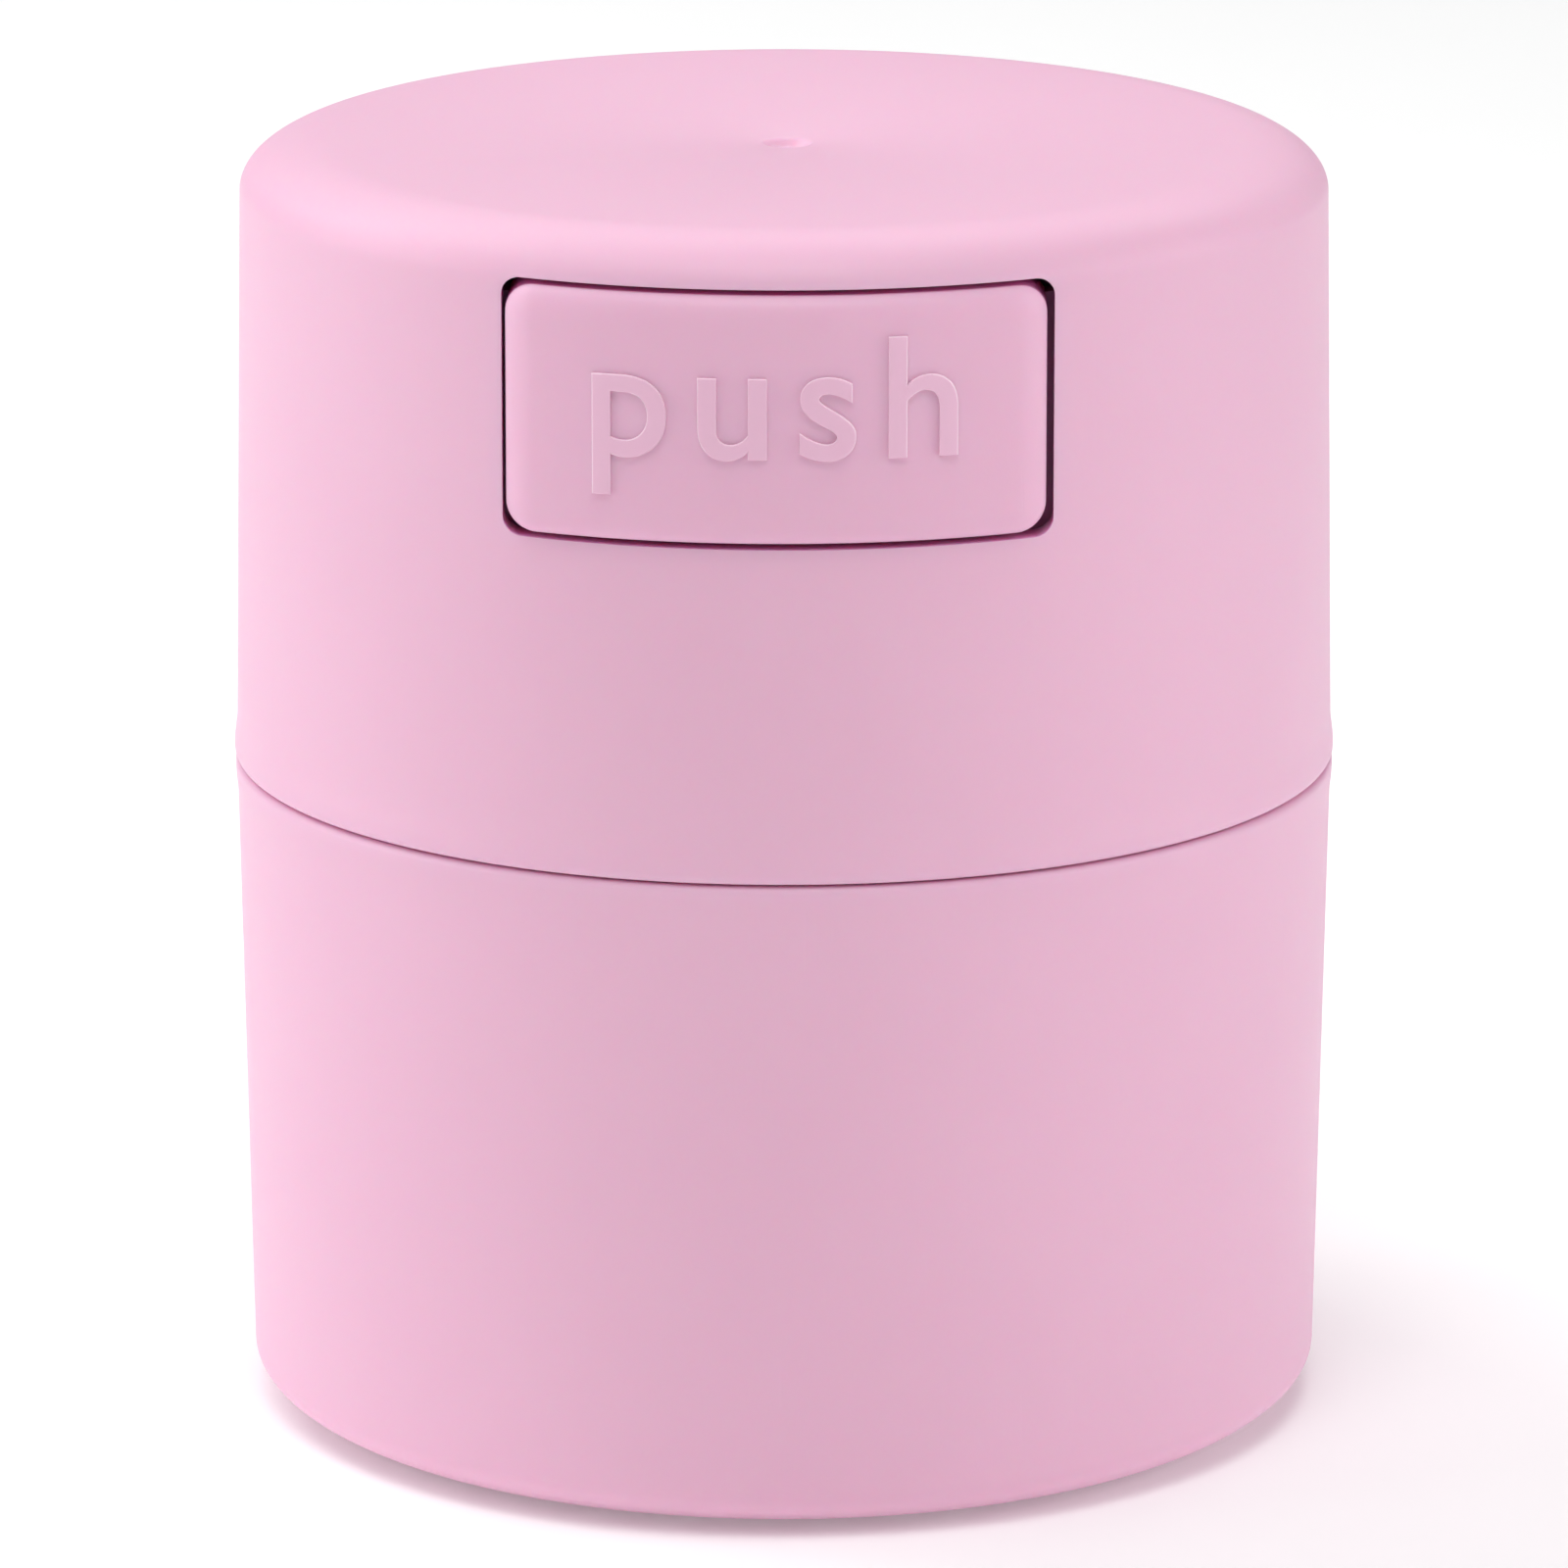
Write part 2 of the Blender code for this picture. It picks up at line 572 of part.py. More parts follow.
# ------------------------------------------------------------------ springs
def make_spring(name, length):
    """Round-wire coil along its own +Z, with a close-wound turn at each end."""
    run = SPRING_TURNS * COIL_STEPS
    open_turns = SPRING_TURNS - 2.0
    open_pitch = (length - SPRING_WIRE - 2 * SPRING_CLOSE_PITCH) / open_turns
    points = []
    for index in range(int(run) + 1):
        turn = index / COIL_STEPS
        height = SPRING_WIRE / 2 + SPRING_CLOSE_PITCH * min(turn, 1.0)
        height += open_pitch * min(max(turn - 1.0, 0.0), open_turns)
        height += SPRING_CLOSE_PITCH * max(turn - 1.0 - open_turns, 0.0)
        angle = 2 * math.pi * turn
        points.append((SPRING_RADIUS * math.cos(angle), SPRING_RADIUS * math.sin(angle), height))
    wire = bpy.data.curves.new(name, "CURVE")
    wire.dimensions = "3D"
    wire.bevel_depth = SPRING_WIRE / 2
    wire.bevel_resolution = 2
    wire.use_fill_caps = True
    line = wire.splines.new("POLY")
    line.points.add(len(points) - 1)
    for point, place_at in zip(line.points, points):
        point.co = (*place_at, 1.0)
    made = bpy.data.objects.new(name, wire)
    parts.objects.link(made)
    return made


# -------------------------------------------------------------- vent valve
collar_front_y = pocket_inner_y + STEM_COLLAR_LENGTH
disc_front_y = pocket_inner_y - FIT_GAP
disc_back_y = disc_front_y - DISC_THICKNESS
clip_front_y = disc_back_y - FIT_GAP
clip_back_y = clip_front_y - CLIP_THICKNESS
groove_front_y = clip_front_y + FIT_GAP / 2
groove_back_y = clip_back_y - FIT_GAP
stem_outer_y = flange_inner_radius - FIT_GAP
stem_inner_y = groove_back_y - STEM_TIP_LENGTH


def make_valve_stem():
    groove = STEM_RADIUS - STEM_GROOVE_DEPTH
    tip = STEM_RADIUS / 3
    profile = [(0.0, stem_outer_y), (STEM_RADIUS, stem_outer_y), (STEM_RADIUS, collar_front_y),
               (STEM_COLLAR_RADIUS, collar_front_y), (STEM_COLLAR_RADIUS, pocket_inner_y),
               (STEM_RADIUS, pocket_inner_y), (STEM_RADIUS, groove_front_y), (groove, groove_front_y),
               (groove, groove_back_y), (STEM_RADIUS, groove_back_y), (STEM_RADIUS, stem_inner_y + tip),
               (STEM_RADIUS - tip, stem_inner_y), (0.0, stem_inner_y)]
    return turned("valve_stem", profile, parts, SMALL_STEPS)


def make_valve_disc():
    """Soft disc, thinner towards its rim, round the stem."""
    hole = STEM_RADIUS + FIT_GAP
    rim = DISC_THICKNESS / 2
    profile = [(hole, 0.0), (DISC_RADIUS - rim / 2, 0.0), (DISC_RADIUS, -rim / 2), (DISC_RADIUS, -rim),
               (CLIP_RADIUS + FIT_GAP, -DISC_THICKNESS), (hole, -DISC_THICKNESS)]
    return turned("valve_disc", profile, parts, SMALL_STEPS * 2, closed=True)


def make_valve_clip():
    """Flat C-shaped clip that sits in the stem's groove."""
    inner = STEM_RADIUS - STEM_GROOVE_DEPTH + FIT_GAP
    profile = [(inner, 0.0), (CLIP_RADIUS, 0.0), (CLIP_RADIUS, -CLIP_THICKNESS), (inner, -CLIP_THICKNESS)]
    clip = turned("valve_clip", profile, parts, SMALL_STEPS * 2, closed=True)
    mouth = box("clip_mouth", (-CLIP_MOUTH_HALF, -2 * CLIP_RADIUS, -2 * CLIP_THICKNESS),
                (CLIP_MOUTH_HALF, 0.0, CLIP_THICKNESS), cutters)
    place(mouth, clip, (0.0, 0.0, 0.0))
    combine(clip, mouth, "DIFFERENCE")
    as_cutter(mouth)
    return clip


# ----------------------------------------------------------------- assembly
base_shell = make_base_shell()
storage_cup = make_storage_cup()
place(storage_cup, base_shell, (0.0, 0.0, cup_foot_z))
seal_ring = make_seal_ring()
place(seal_ring, storage_cup, (0.0, 0.0, groove_bottom_z + FIT_GAP - cup_foot_z))
lid_shell = make_lid_shell()
place(lid_shell, base_shell, (0.0, 0.0, seam_z))
lid_liner = make_lid_liner()
place(lid_liner, lid_shell, (0.0, 0.0, 0.0))
push_button = make_push_button()
place(push_button, lid_shell, (0.0, 0.0, button_z - seam_z))
button_guide = make_button_guide()
place(button_guide, lid_liner, (0.0, -guide_back_y, button_z - seam_z))
valve_stem = make_valve_stem()
place(valve_stem, push_button, (0.0, 0.0, 0.0), ALONG_BUTTON)
valve_disc = make_valve_disc()
place(valve_disc, push_button, (0.0, -disc_front_y, 0.0), ALONG_BUTTON)
valve_clip = make_valve_clip()
place(valve_clip, push_button, (0.0, -clip_front_y, 0.0), ALONG_BUTTON)

finish(base_shell, pink)
finish(storage_cup, clear_white)
finish(seal_ring, seal_rubber)
finish(lid_shell, pink)
finish(lid_liner, clear_white)
finish(push_button, pink_button)
finish(button_guide, white_guide)
finish(valve_stem, white_guide)
finish(valve_disc, seal_rubber)
finish(valve_clip, spring_steel)

spring_back_y = guide_front_y + FIT_GAP
spring_length = socket_floor_y - FIT_GAP - spring_back_y
for side, sign in SIDES:
    screw = make_guide_screw("guide_screw_" + side, SLOT_TURNS[side])
    place(screw, button_guide, (sign * screw_x, -GUIDE_THICKNESS, 0.0), ALONG_BUTTON)
    finish(screw, screw_steel)
    spring = make_spring("return_spring_" + side, spring_length)
    place(spring, push_button, (sign * spring_x, -spring_back_y, 0.0), ALONG_BUTTON)
    spring.data.materials.append(spring_steel)
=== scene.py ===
import math

import bmesh
import bpy
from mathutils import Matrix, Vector


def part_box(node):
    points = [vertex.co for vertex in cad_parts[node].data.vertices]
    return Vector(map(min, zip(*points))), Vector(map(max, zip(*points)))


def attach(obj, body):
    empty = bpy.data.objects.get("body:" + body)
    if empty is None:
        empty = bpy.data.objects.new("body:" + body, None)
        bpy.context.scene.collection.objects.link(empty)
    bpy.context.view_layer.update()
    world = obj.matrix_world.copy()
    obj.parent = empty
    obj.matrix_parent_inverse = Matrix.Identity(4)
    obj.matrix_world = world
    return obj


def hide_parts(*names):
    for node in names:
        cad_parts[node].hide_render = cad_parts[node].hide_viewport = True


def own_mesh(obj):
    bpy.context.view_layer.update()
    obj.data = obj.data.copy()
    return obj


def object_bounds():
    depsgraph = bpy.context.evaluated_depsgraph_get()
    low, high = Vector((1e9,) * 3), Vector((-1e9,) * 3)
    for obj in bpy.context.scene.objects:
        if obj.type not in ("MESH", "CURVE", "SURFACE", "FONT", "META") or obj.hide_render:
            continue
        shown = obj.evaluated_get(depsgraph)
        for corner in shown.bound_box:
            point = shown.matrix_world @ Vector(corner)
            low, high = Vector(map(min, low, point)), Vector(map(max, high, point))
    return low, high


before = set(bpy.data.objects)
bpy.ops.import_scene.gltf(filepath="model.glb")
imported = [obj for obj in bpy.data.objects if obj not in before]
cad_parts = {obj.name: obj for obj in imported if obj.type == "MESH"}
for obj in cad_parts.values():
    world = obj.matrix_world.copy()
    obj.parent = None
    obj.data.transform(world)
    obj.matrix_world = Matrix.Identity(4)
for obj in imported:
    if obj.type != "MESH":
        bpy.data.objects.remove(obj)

MM = 0.001
cad_low, cad_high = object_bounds()

# ------------------------------------------------------------------ sizes of the moulded shells
LID_RADIUS = 30.22 * MM
MOUTH_RADIUS = 30.73 * MM
SHELL_WALL = 1.8 * MM
TOP_THICKNESS = 2.0 * MM
TOP_EDGE_RUN = 4.78 * MM
TOP_EDGE_DROP = 2.78 * MM
LIP_FLARE = 0.17 * MM
LIP_HEIGHT = 2.4 * MM
LIP_RUN = 1.9 * MM
LIP_EDGE = 0.42 * MM
FOOT_RADIUS = 30.18 * MM
FOOT_EDGE_RUN = 5.73 * MM
FOOT_EDGE_RISE = 2.78 * MM
BASE_FLOOR = 2.0 * MM
RIM_EDGE = 0.4 * MM
RIM_FLARE = 0.13 * MM
SEAM_LIFT = 0.19 * MM
END_CAP = 10 * MM
LID_INNER_FILLET = 0.8 * MM
BASE_INNER_FILLET = 3.0 * MM

# ------------------------------------------------------------------ sizes of the liner, cup and seal
LINER_RADIUS = 27.42 * MM
LINER_WALL = 1.5 * MM
CUP_RADIUS = 25.22 * MM
CUP_WALL = 1.6 * MM
CUP_FILLET = 3.5 * MM
FLANGE_THICKNESS = 1.5 * MM
GROOVE_DROP = 2.1 * MM
GROOVE_HEIGHT = 2.4 * MM
GROOVE_DEPTH = 0.9 * MM
POCKET_HALF = 16.29 * MM
POCKET_WALL_Y = 17.52 * MM
PORT_RADIUS = 2.4 * MM
SCREW_X = 13.19 * MM
CUP_CAP = 8 * MM
CUP_LIP = 0.5 * MM
SOFT_EDGE = 0.15 * MM
RING_FIT = 0.05 * MM
RING_RUNNING_GAP = 0.15 * MM
LINER_EDGE = 0.6 * MM
LINER_MOUTH_EDGE = 0.5 * MM
LINER_FILLET = 1 * MM
POCKET_FLOOR_GAP = 0.4 * MM
BOSS_RADIUS = 2.4 * MM
BOSS_LENGTH = 4.2 * MM
BOSS_LAP = 1 * MM
SCREW_BORE = 1.3 * MM
SCREW_BORE_DEPTH = 4.4 * MM

# ------------------------------------------------------------------ sizes of the window and button
WINDOW_HALF = 14.69 * MM
WINDOW_HEIGHT = 14.0 * MM
WINDOW_CORNER = 1.0 * MM
WINDOW_GAP = 0.3 * MM
WINDOW_EDGE = 0.12 * MM
GATE_RADIUS = 1.45 * MM
GATE_DEPTH = 0.42 * MM
GATE_X = 0.2 * MM
GATE_Y = -2.2 * MM
GATE_FLAT = 0.75 * MM
GATE_NUB = 0.45 * MM
BUTTON_DEPTH = 4.5 * MM
BUTTON_CORNER = 1.6 * MM
BUTTON_EDGE = 1.5 * MM
BUTTON_EDGE_DROP = 0.95 * MM
BUTTON_SHIFT = -0.1 * MM
FACE_STEP = 0.06 * MM
FLANGE_LAP = 1.5 * MM
FLANGE_TOP_DROP = 1 * MM
FLANGE_PLATE = 1.4 * MM
SOCKET_X = 9.49 * MM
SOCKET_RADIUS = 3.45 * MM
SOCKET_BORE = 2.7 * MM
SOCKET_FLOOR = 25.19 * MM
STEM_BOSS_RADIUS = 2.2 * MM
STEM_BORE = 1.3 * MM
STEM_FLOOR = 27.0 * MM
BUTTON_BACK = 21.9 * MM
LETTER_SIZE = 9.3 * MM
LETTER_SPACING = 1.2
LETTER_WEIGHT = 0.02 * MM
LETTER_BASE = -1.85 * MM
LETTER_FRONT = -0.8
LETTER_PROUD = 0.17 * MM
LETTER_EDGE = 0.065 * MM
WIRE_RADIUS = 0.2 * MM
SPRING_TURNS = 5

# ------------------------------------------------------------------ camera and studio light
CAMERA_LENS = 230.9
CAMERA_DISTANCE = 567.56 * MM
CAMERA_AZIMUTH = 0.7
CAMERA_ELEVATION = 14.633
AIM_HEIGHT = 34.77 * MM
LIGHT_DISTANCE = 0.9
AIR_LIGHT = 0.1
FLOOR_GLOW = 0.15
LIGHTS = (
    ("side_left", -90.0, 8.0, 0.80, 0.90, 4.7),
    ("side_right", 82.0, 8.0, 0.50, 0.90, 4.4),
    ("front", 0.0, 60.0, 0.60, 0.50, 2.15),
    ("high_front", 0.0, 74.0, 0.50, 0.50, 2.4),
    ("high_back", 180.0, 50.0, 0.90, 0.50, 2.1),
    ("high_back_left", -120.0, 45.0, 0.50, 0.50, 2.75),
)

FLOOR_RADIUS = 4.0
FLOOR_DROP = 0.02 * MM

SHELL_STEPS = 256
LINER_STEPS = 160
CORNER_STEPS = 14


def band(node):
    """Lowest and highest height of a CAD node."""
    low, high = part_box(node)
    return low.z, high.z


seam_z, top_z = band("lid_shell")
base_top = band("base_shell")[1]
cup_low, neck_top = band("storage_cup")
ring_low, ring_top = band("neck_seal_ring")
liner_low, liner_top = band("lid_liner")
button_low, button_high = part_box("push_button")
guide_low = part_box("button_guide")[0]
edge_z = top_z - TOP_EDGE_DROP
window_high = button_high.z + WINDOW_GAP
window_low = window_high - WINDOW_HEIGHT
window_z = (window_high + window_low) / 2
side_slope = (MOUTH_RADIUS - LID_RADIUS) / (edge_z - seam_z)


# ------------------------------------------------------------------ modelling helpers
def select_nothing():
    bpy.ops.object.select_all(action="DESELECT")


def name_active(name):
    piece = bpy.context.object
    piece.name = name
    piece.data.name = name
    return piece


def make_active(piece):
    select_nothing()
    piece.select_set(True)
    bpy.context.view_layer.objects.active = piece


def corner(centre, size, start, end, steps=CORNER_STEPS):
    """Points (radius, height) of an elliptical corner between two angles in degrees."""
    points = []
    for index in range(steps + 1):
        angle = math.radians(start + (end - start) * index / steps)
        points.append((centre[0] + size[0] * math.cos(angle), centre[1] + size[1] * math.sin(angle)))
    return points


def turn_ring(name, profile, steps, closed=False):
    """Extrudes a circle ring by ring along a profile, then caps both ends or joins them."""
    select_nothing()
    radius, height = profile[0]
    bpy.ops.mesh.primitive_circle_add(vertices=steps, radius=radius, location=(0.0, 0.0, height))
    piece = name_active(name)
    bpy.ops.object.transform_apply(location=True)
    bpy.ops.object.mode_set(mode="EDIT")
    bpy.ops.mesh.select_all(action="SELECT")
    if not closed:
        bpy.ops.mesh.edge_face_add()
        bpy.ops.mesh.select_mode(type="EDGE")
        select_where(piece, "edges", lambda edge: True)
    for next_radius, next_height in profile[1:]:
        bpy.ops.mesh.extrude_edges_move(TRANSFORM_OT_translate={"value": (0.0, 0.0, next_height - height)})
        scale = next_radius / radius
        bpy.ops.transform.resize(value=(scale, scale, 1.0), center_override=(0.0, 0.0, next_height))
        radius, height = next_radius, next_height
    if closed:
        bpy.ops.mesh.select_mode(type="EDGE")
        select_where(piece, "edges", lambda edge: len(edge.link_faces) < 2)
        bpy.ops.mesh.bridge_edge_loops()
    else:
        bpy.ops.mesh.edge_face_add()
    bpy.ops.mesh.select_all(action="SELECT")
    bpy.ops.mesh.remove_doubles(threshold=0.0001 * MM)
    bpy.ops.mesh.normals_make_consistent(inside=False)
    bpy.ops.object.mode_set(mode="OBJECT")
    return piece


def select_where(piece, kind, test):
    """Selects the faces, edges or vertices of the piece in edit mode that pass a test."""
    mesh = bmesh.from_edit_mesh(piece.data)
    for face in mesh.faces:
        face.select_set(False)
    for edge in mesh.edges:
        edge.select_set(False)
    for vertex in mesh.verts:
        vertex.select_set(False)
    for item in getattr(mesh, kind):
        if test(item):
            item.select_set(True)
    mesh.select_flush_mode()
    bmesh.update_edit_mesh(piece.data)


def rounded_block(name, half_width, low_z, high_z, near, far, corner_radius, segments):
    """Block in front of the axis with its four long edges rounded."""
    select_nothing()
    middle = (0.0, -(near + far) / 2, (low_z + high_z) / 2)
    bpy.ops.mesh.primitive_cube_add(size=1.0, location=middle,
                                    scale=(2 * half_width, far - near, high_z - low_z))
    block = name_active(name)
    bpy.ops.object.transform_apply(location=True, scale=True)
    bpy.ops.object.mode_set(mode="EDIT")
    bpy.ops.mesh.select_mode(type="EDGE")
    half_depth = (far - near) / 2
    select_where(block, "edges", lambda edge: abs(edge.verts[0].co.y - edge.verts[1].co.y) > half_depth)
    bpy.ops.mesh.bevel(offset=corner_radius, segments=segments, profile=0.5)
    bpy.ops.object.mode_set(mode="OBJECT")
    return block


def apply_boolean(piece, tool, operation="DIFFERENCE"):
    """Combines a tool into the piece and removes the tool."""
    make_active(piece)
    step = piece.modifiers.new("combine", "BOOLEAN")
    step.operation = operation
    step.object = tool
    step.solver = "EXACT"
    bpy.ops.object.modifier_apply(modifier=step.name)
    bpy.data.objects.remove(tool, do_unlink=True)


def shade(piece, degrees=30.0):
    make_active(piece)
    bpy.ops.object.shade_smooth_by_angle(angle=math.radians(degrees))


# ------------------------------------------------------------------ lid shell
def gate_dimple():
    """Shallow crater with a small nub in it, which the moulding gate leaves in the lid's top."""
    points = []
    steps = 16
    for index in range(1, steps + 1):
        radius = GATE_RADIUS * index / steps
        wall = min(1.0, max(0.0, (GATE_RADIUS - radius) / (GATE_RADIUS - GATE_FLAT)))
        nub = max(0.0, 1 - radius / GATE_NUB)
        drop = GATE_DEPTH * (wall ** 2 * (3 - 2 * wall) - 0.5 * nub ** 0.5)
        points.append((radius, top_z - drop))
    return points


def flare(start, end, steps=10):
    """Points of a soft S-bend from one radius to another."""
    points = []
    for index in range(1, steps + 1):
        share = index / steps
        ease = (1 - math.cos(math.pi * share)) / 2
        points.append((start[0] + (end[0] - start[0]) * ease, start[1] + (end[1] - start[1]) * share))
    return points


def make_lid_shell():
    lip = MOUTH_RADIUS + LIP_FLARE
    low = seam_z - SEAM_LIFT
    inner_top = top_z - TOP_THICKNESS
    inner = LID_RADIUS - SHELL_WALL
    profile = gate_dimple()
    profile += corner((LID_RADIUS - TOP_EDGE_RUN, edge_z), (TOP_EDGE_RUN, TOP_EDGE_DROP), 90, 0, 24)
    side_rings = 26
    for ring in range(1, side_rings + 1):
        share = ring / side_rings
        profile.append((LID_RADIUS + (MOUTH_RADIUS - LID_RADIUS) * share,
                        edge_z + (low + LIP_HEIGHT - edge_z) * share))
    profile += flare((MOUTH_RADIUS, low + LIP_HEIGHT), (lip, low + LIP_HEIGHT - LIP_RUN))
    profile += corner((lip - LIP_EDGE, low + LIP_EDGE), (LIP_EDGE, LIP_EDGE), 0, -90, 6)
    profile.append((MOUTH_RADIUS - SHELL_WALL, low))
    fillet = LID_INNER_FILLET
    profile += corner((inner - fillet, inner_top - fillet), (fillet, fillet), 0, 90, 5)
    shell = turn_ring("lid_shell_moulded", profile, SHELL_STEPS)
    for vertex in shell.data.vertices:
        if vertex.co.z > edge_z and math.hypot(vertex.co.x, vertex.co.y) < GATE_RADIUS + WINDOW_EDGE:
            vertex.co.x += GATE_X
            vertex.co.y += GATE_Y
    window = rounded_block("window_tool", WINDOW_HALF, window_low, window_high,
                           POCKET_WALL_Y, 40 * MM, WINDOW_CORNER, 12)
    apply_boolean(shell, window)
    make_active(shell)
    bpy.ops.object.mode_set(mode="EDIT")
    bpy.ops.mesh.select_mode(type="EDGE")
    select_where(shell, "edges", is_window_edge)
    bpy.ops.mesh.remove_doubles(threshold=WINDOW_EDGE / 2)
    select_where(shell, "edges", is_window_edge)
    bpy.ops.mesh.bevel(offset=WINDOW_EDGE, segments=3, profile=0.5, clamp_overlap=True)
    bpy.ops.object.mode_set(mode="OBJECT")
    # the window's walls get a darker, deeper pink: painted shade of the recess
    two_tone(shell, pink, window_shade_pink, is_window_wall)
    return shell


def is_window_wall(face):
    """True for the faces round the window that run through the lid's wall."""
    point = face.center
    if abs(point.x) > WINDOW_HALF + WINDOW_EDGE or point.y > 0:
        return False
    if not window_low - WINDOW_EDGE < point.z < window_high + WINDOW_EDGE:
        return False
    outward = Vector((point.x, point.y, 0.0)).normalized()
    return abs(face.normal.dot(outward)) < 0.5


def two_tone(piece, first, second, test):
    """Gives a piece its finish, and a second finish to the faces that pass a test."""
    piece.data.materials.append(first)
    piece.data.materials.append(second)
    for face in piece.data.polygons:
        face.material_index = 1 if test(face) else 0


def is_window_edge(edge):
    """True for the sharp edges where the window's walls meet the lid's outer side."""
    if len(edge.link_faces) != 2 or edge.calc_face_angle() < math.radians(40.0):
        return False
    reach = 0.2 * MM
    for vertex in edge.verts:
        point = vertex.co
        if abs(point.x) > WINDOW_HALF + reach or point.y > 0:
            return False
        if not window_low - reach < point.z < window_high + reach:
            return False
        if math.hypot(point.x, point.y) < LID_RADIUS - SHELL_WALL / 2:
            return False
    return True


# ------------------------------------------------------------------ base shell
def make_base_shell():
    inner_foot = FOOT_RADIUS - SHELL_WALL
    inner_mouth = MOUTH_RADIUS - SHELL_WALL
    fillet = BASE_INNER_FILLET
    profile = [(END_CAP, BASE_FLOOR)]
    profile += corner((inner_foot - fillet, BASE_FLOOR + fillet), (fillet, fillet), -90, 0, 8)
    profile.append((inner_mouth, base_top))
    rim = MOUTH_RADIUS + RIM_FLARE
    profile += corner((rim - RIM_EDGE, base_top - RIM_EDGE), (RIM_EDGE, RIM_EDGE), 90, 0, 8)
    profile += flare((rim, base_top - RIM_EDGE), (MOUTH_RADIUS, base_top - RIM_EDGE - LIP_RUN))
    profile += corner((FOOT_RADIUS - FOOT_EDGE_RUN, FOOT_EDGE_RISE),
                      (FOOT_EDGE_RUN, FOOT_EDGE_RISE), 0, -90, 24)
    profile.append((END_CAP, 0.0))
    return turn_ring("base_shell_moulded", profile, SHELL_STEPS)


# ------------------------------------------------------------------ storage cup and its seal
def make_storage_cup():
    inner = CUP_RADIUS - CUP_WALL
    floor = cup_low + CUP_WALL
    lip = CUP_LIP
    groove_high = neck_top - GROOVE_DROP
    groove_low = groove_high - GROOVE_HEIGHT
    groove = CUP_RADIUS - GROOVE_DEPTH
    flange = MOUTH_RADIUS - SHELL_WALL - WINDOW_GAP
    soft = SOFT_EDGE
    profile = [(CUP_CAP, floor)]
    profile += corner((inner - CUP_FILLET, floor + CUP_FILLET), (CUP_FILLET, CUP_FILLET), -90, 0, 10)
    profile += corner((inner + lip, neck_top - lip), (lip, lip), 180, 90, 6)
    profile += corner((CUP_RADIUS - lip, neck_top - lip), (lip, lip), 90, 0, 6)
    profile += corner((CUP_RADIUS - soft, groove_high + soft), (soft, soft), 0, -90, 3)
    profile += [(groove, groove_high), (groove, groove_low)]
    profile += corner((CUP_RADIUS - soft, groove_low - soft), (soft, soft), 90, 0, 3)
    profile += [(CUP_RADIUS, base_top)]
    profile += corner((flange - soft, base_top - soft), (soft, soft), 90, 0, 3)
    profile += [(flange, base_top - FLANGE_THICKNESS), (CUP_RADIUS, base_top - FLANGE_THICKNESS)]
    profile += corner((CUP_RADIUS - CUP_FILLET, cup_low + CUP_FILLET),
                      (CUP_FILLET, CUP_FILLET), 0, -90, 10)
    profile.append((CUP_CAP, cup_low))
    return turn_ring("storage_cup_moulded", profile, LINER_STEPS)


def make_seal_ring():
    inner = CUP_RADIUS - GROOVE_DEPTH + RING_FIT
    outer = LINER_RADIUS - LINER_WALL - RING_RUNNING_GAP
    lip = (ring_top - ring_low) / 4
    waist = outer - lip
    profile = corner((waist, ring_top - lip), (lip, lip), 90, -70, 8)
    profile += corner((waist, ring_low + lip), (lip, lip), 70, -90, 8)
    profile += [(inner, ring_low), (inner, ring_top)]
    return turn_ring("neck_seal_ring_moulded", profile, LINER_STEPS, closed=True)


# ------------------------------------------------------------------ lid liner
def make_lid_liner():
    inner = LINER_RADIUS - LINER_WALL
    ceiling = liner_top - LINER_WALL
    flange = MOUTH_RADIUS - SHELL_WALL - WINDOW_GAP
    edge = LINER_EDGE
    mouth = LINER_MOUTH_EDGE
    fillet = LINER_FILLET
    profile = [(END_CAP, liner_top)]
    profile += corner((LINER_RADIUS - edge, liner_top - edge), (edge, edge), 90, 0, 4)
    profile += [(LINER_RADIUS, liner_low + FLANGE_THICKNESS), (flange, liner_low + FLANGE_THICKNESS)]
    profile += [(flange, liner_low), (inner + mouth, liner_low)]
    profile += corner((inner + mouth, liner_low + mouth), (mouth, mouth), 270, 180, 4)
    profile += corner((inner - fillet, ceiling - fillet), (fillet, fillet), 0, 90, 6)
    profile.append((END_CAP, ceiling))
    liner = turn_ring("lid_liner_moulded", profile, LINER_STEPS)

    floor = guide_low.z - POCKET_FLOOR_GAP
    block = rounded_block("pocket_body", POCKET_HALF + LINER_WALL,
                          floor - LINER_WALL, ceiling + LINER_WALL / 2,
                          POCKET_WALL_Y - LINER_WALL, 60 * MM, 0.8 * MM, 4)
    select_nothing()
    bpy.ops.mesh.primitive_cylinder_add(vertices=LINER_STEPS, radius=inner + LINER_WALL / 2,
                                        depth=40 * MM, location=(0.0, 0.0, liner_top - 15 * MM))
    barrel = name_active("pocket_barrel")
    bpy.ops.object.transform_apply(location=True)
    apply_boolean(block, barrel, "INTERSECT")
    apply_boolean(liner, block, "UNION")
    for sign in (-1, 1):
        apply_boolean(liner, rod("screw_boss", BOSS_RADIUS, POCKET_WALL_Y - BOSS_LAP - BOSS_LENGTH,
                                 POCKET_WALL_Y - BOSS_LAP, sign * SCREW_X), "UNION")
    pocket = rounded_block("pocket_tool", POCKET_HALF, floor, liner_top + 10 * MM,
                           POCKET_WALL_Y, 60 * MM, 0.6 * MM, 4)
    apply_boolean(liner, pocket)
    apply_boolean(liner, rod("port_tool", PORT_RADIUS, 10 * MM, 25 * MM, 0.0))
    for sign in (-1, 1):
        apply_boolean(liner, rod("screw_tool", SCREW_BORE, POCKET_WALL_Y - SCREW_BORE_DEPTH, 25 * MM,
                                 sign * SCREW_X))
    return liner


